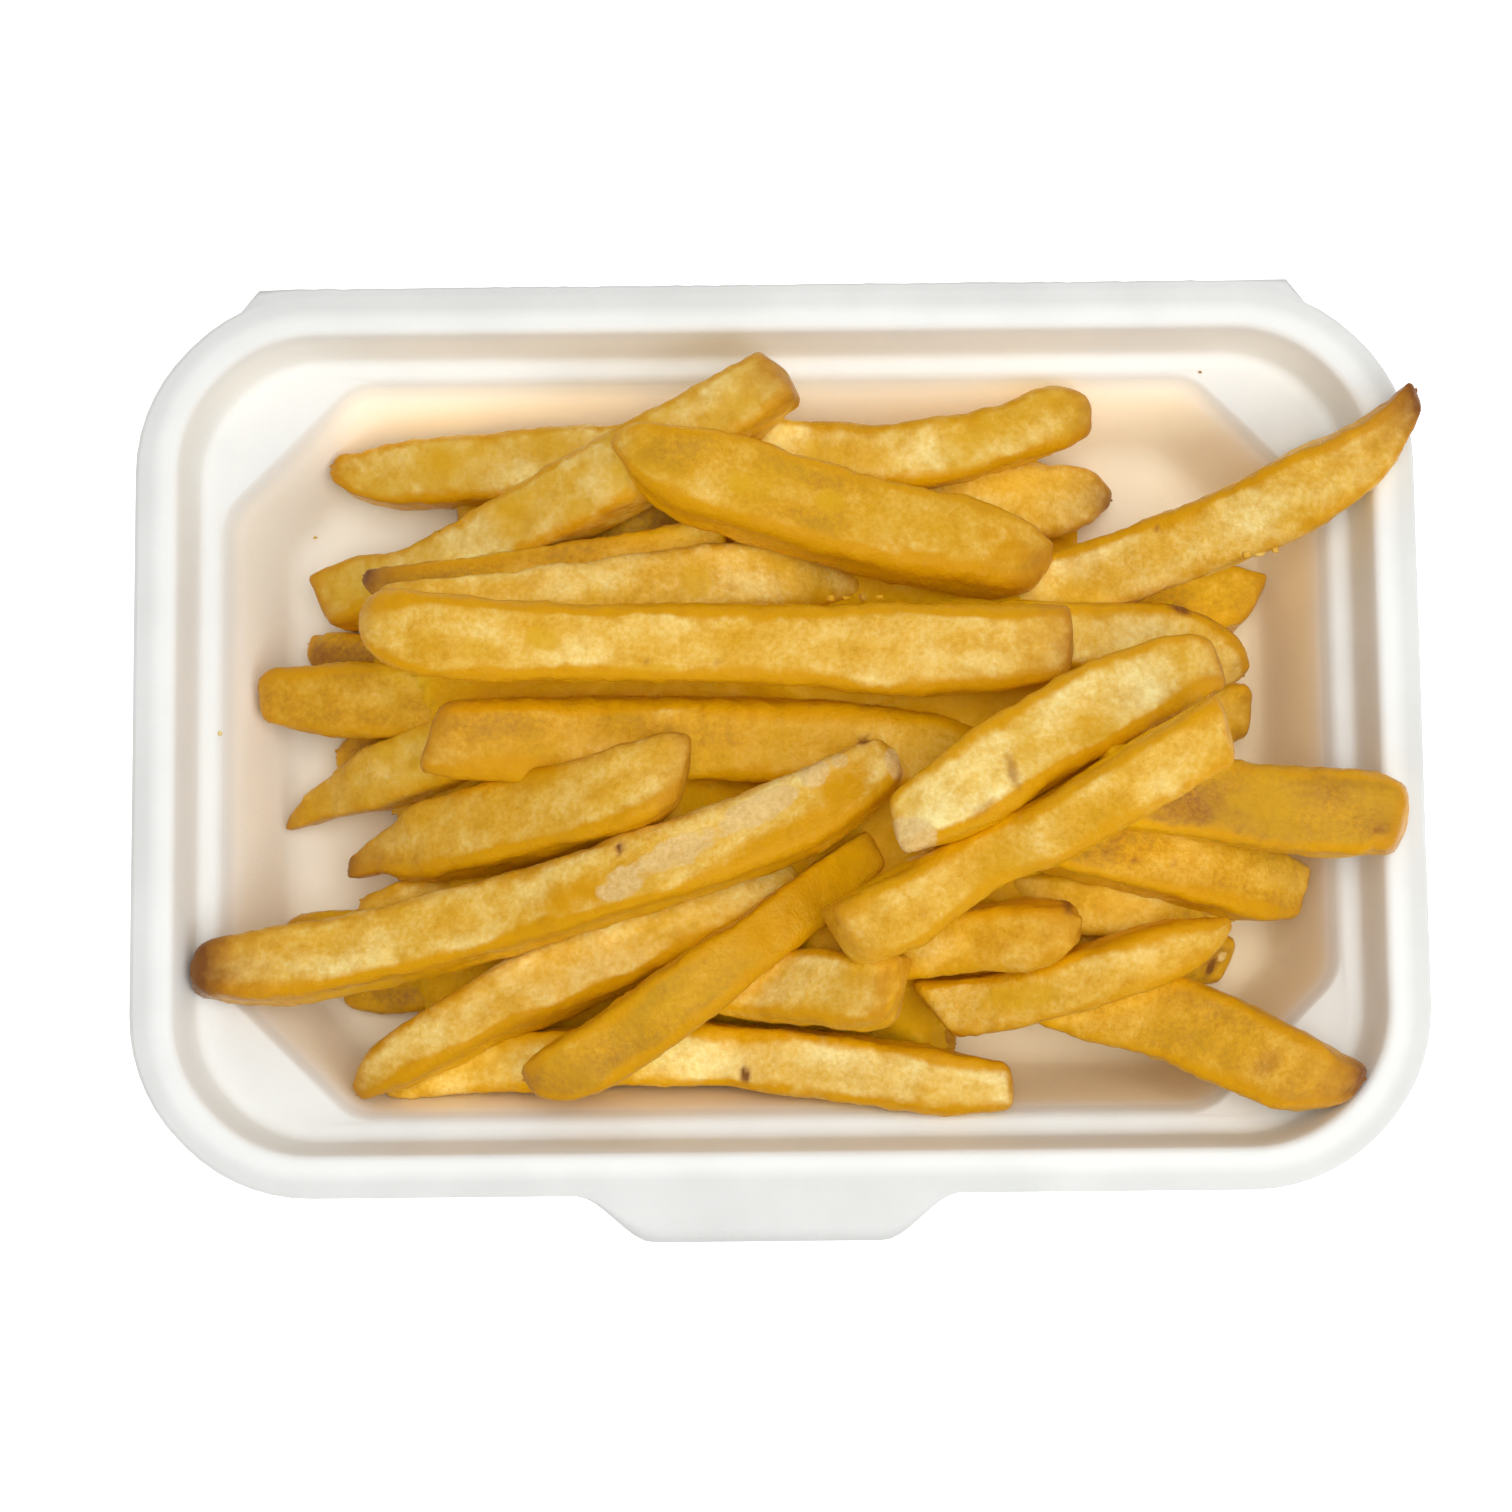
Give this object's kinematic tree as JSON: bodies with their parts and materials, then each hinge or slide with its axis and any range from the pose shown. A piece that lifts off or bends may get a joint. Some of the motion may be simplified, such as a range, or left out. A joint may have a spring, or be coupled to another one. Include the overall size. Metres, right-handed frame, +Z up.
{
  "type": "french fries in a moulded-pulp takeaway tray",
  "caption": "Thick-cut french fries heaped in a shallow rectangular moulded-pulp takeaway tray with a stepped rim, cut-off basin corners, an opening tab and a torn hinge edge.",
  "frame": {"origin": "middle of the tray's flat underside, on the surface it stands on", "axes": "+X along the tray's length, +Y towards the edge where the lid was torn off, +Z up"},
  "size_m": [0.1843, 0.137, 0.0536],
  "materials": {
    "pulp": "matt moulded plant fibre",
    "potato": "fried potato with a slightly oily, finely blistered skin"
  },
  "bodies": {
    "root": {"tray": "pulp", "fries": "potato"}
  },
  "joints": []
}
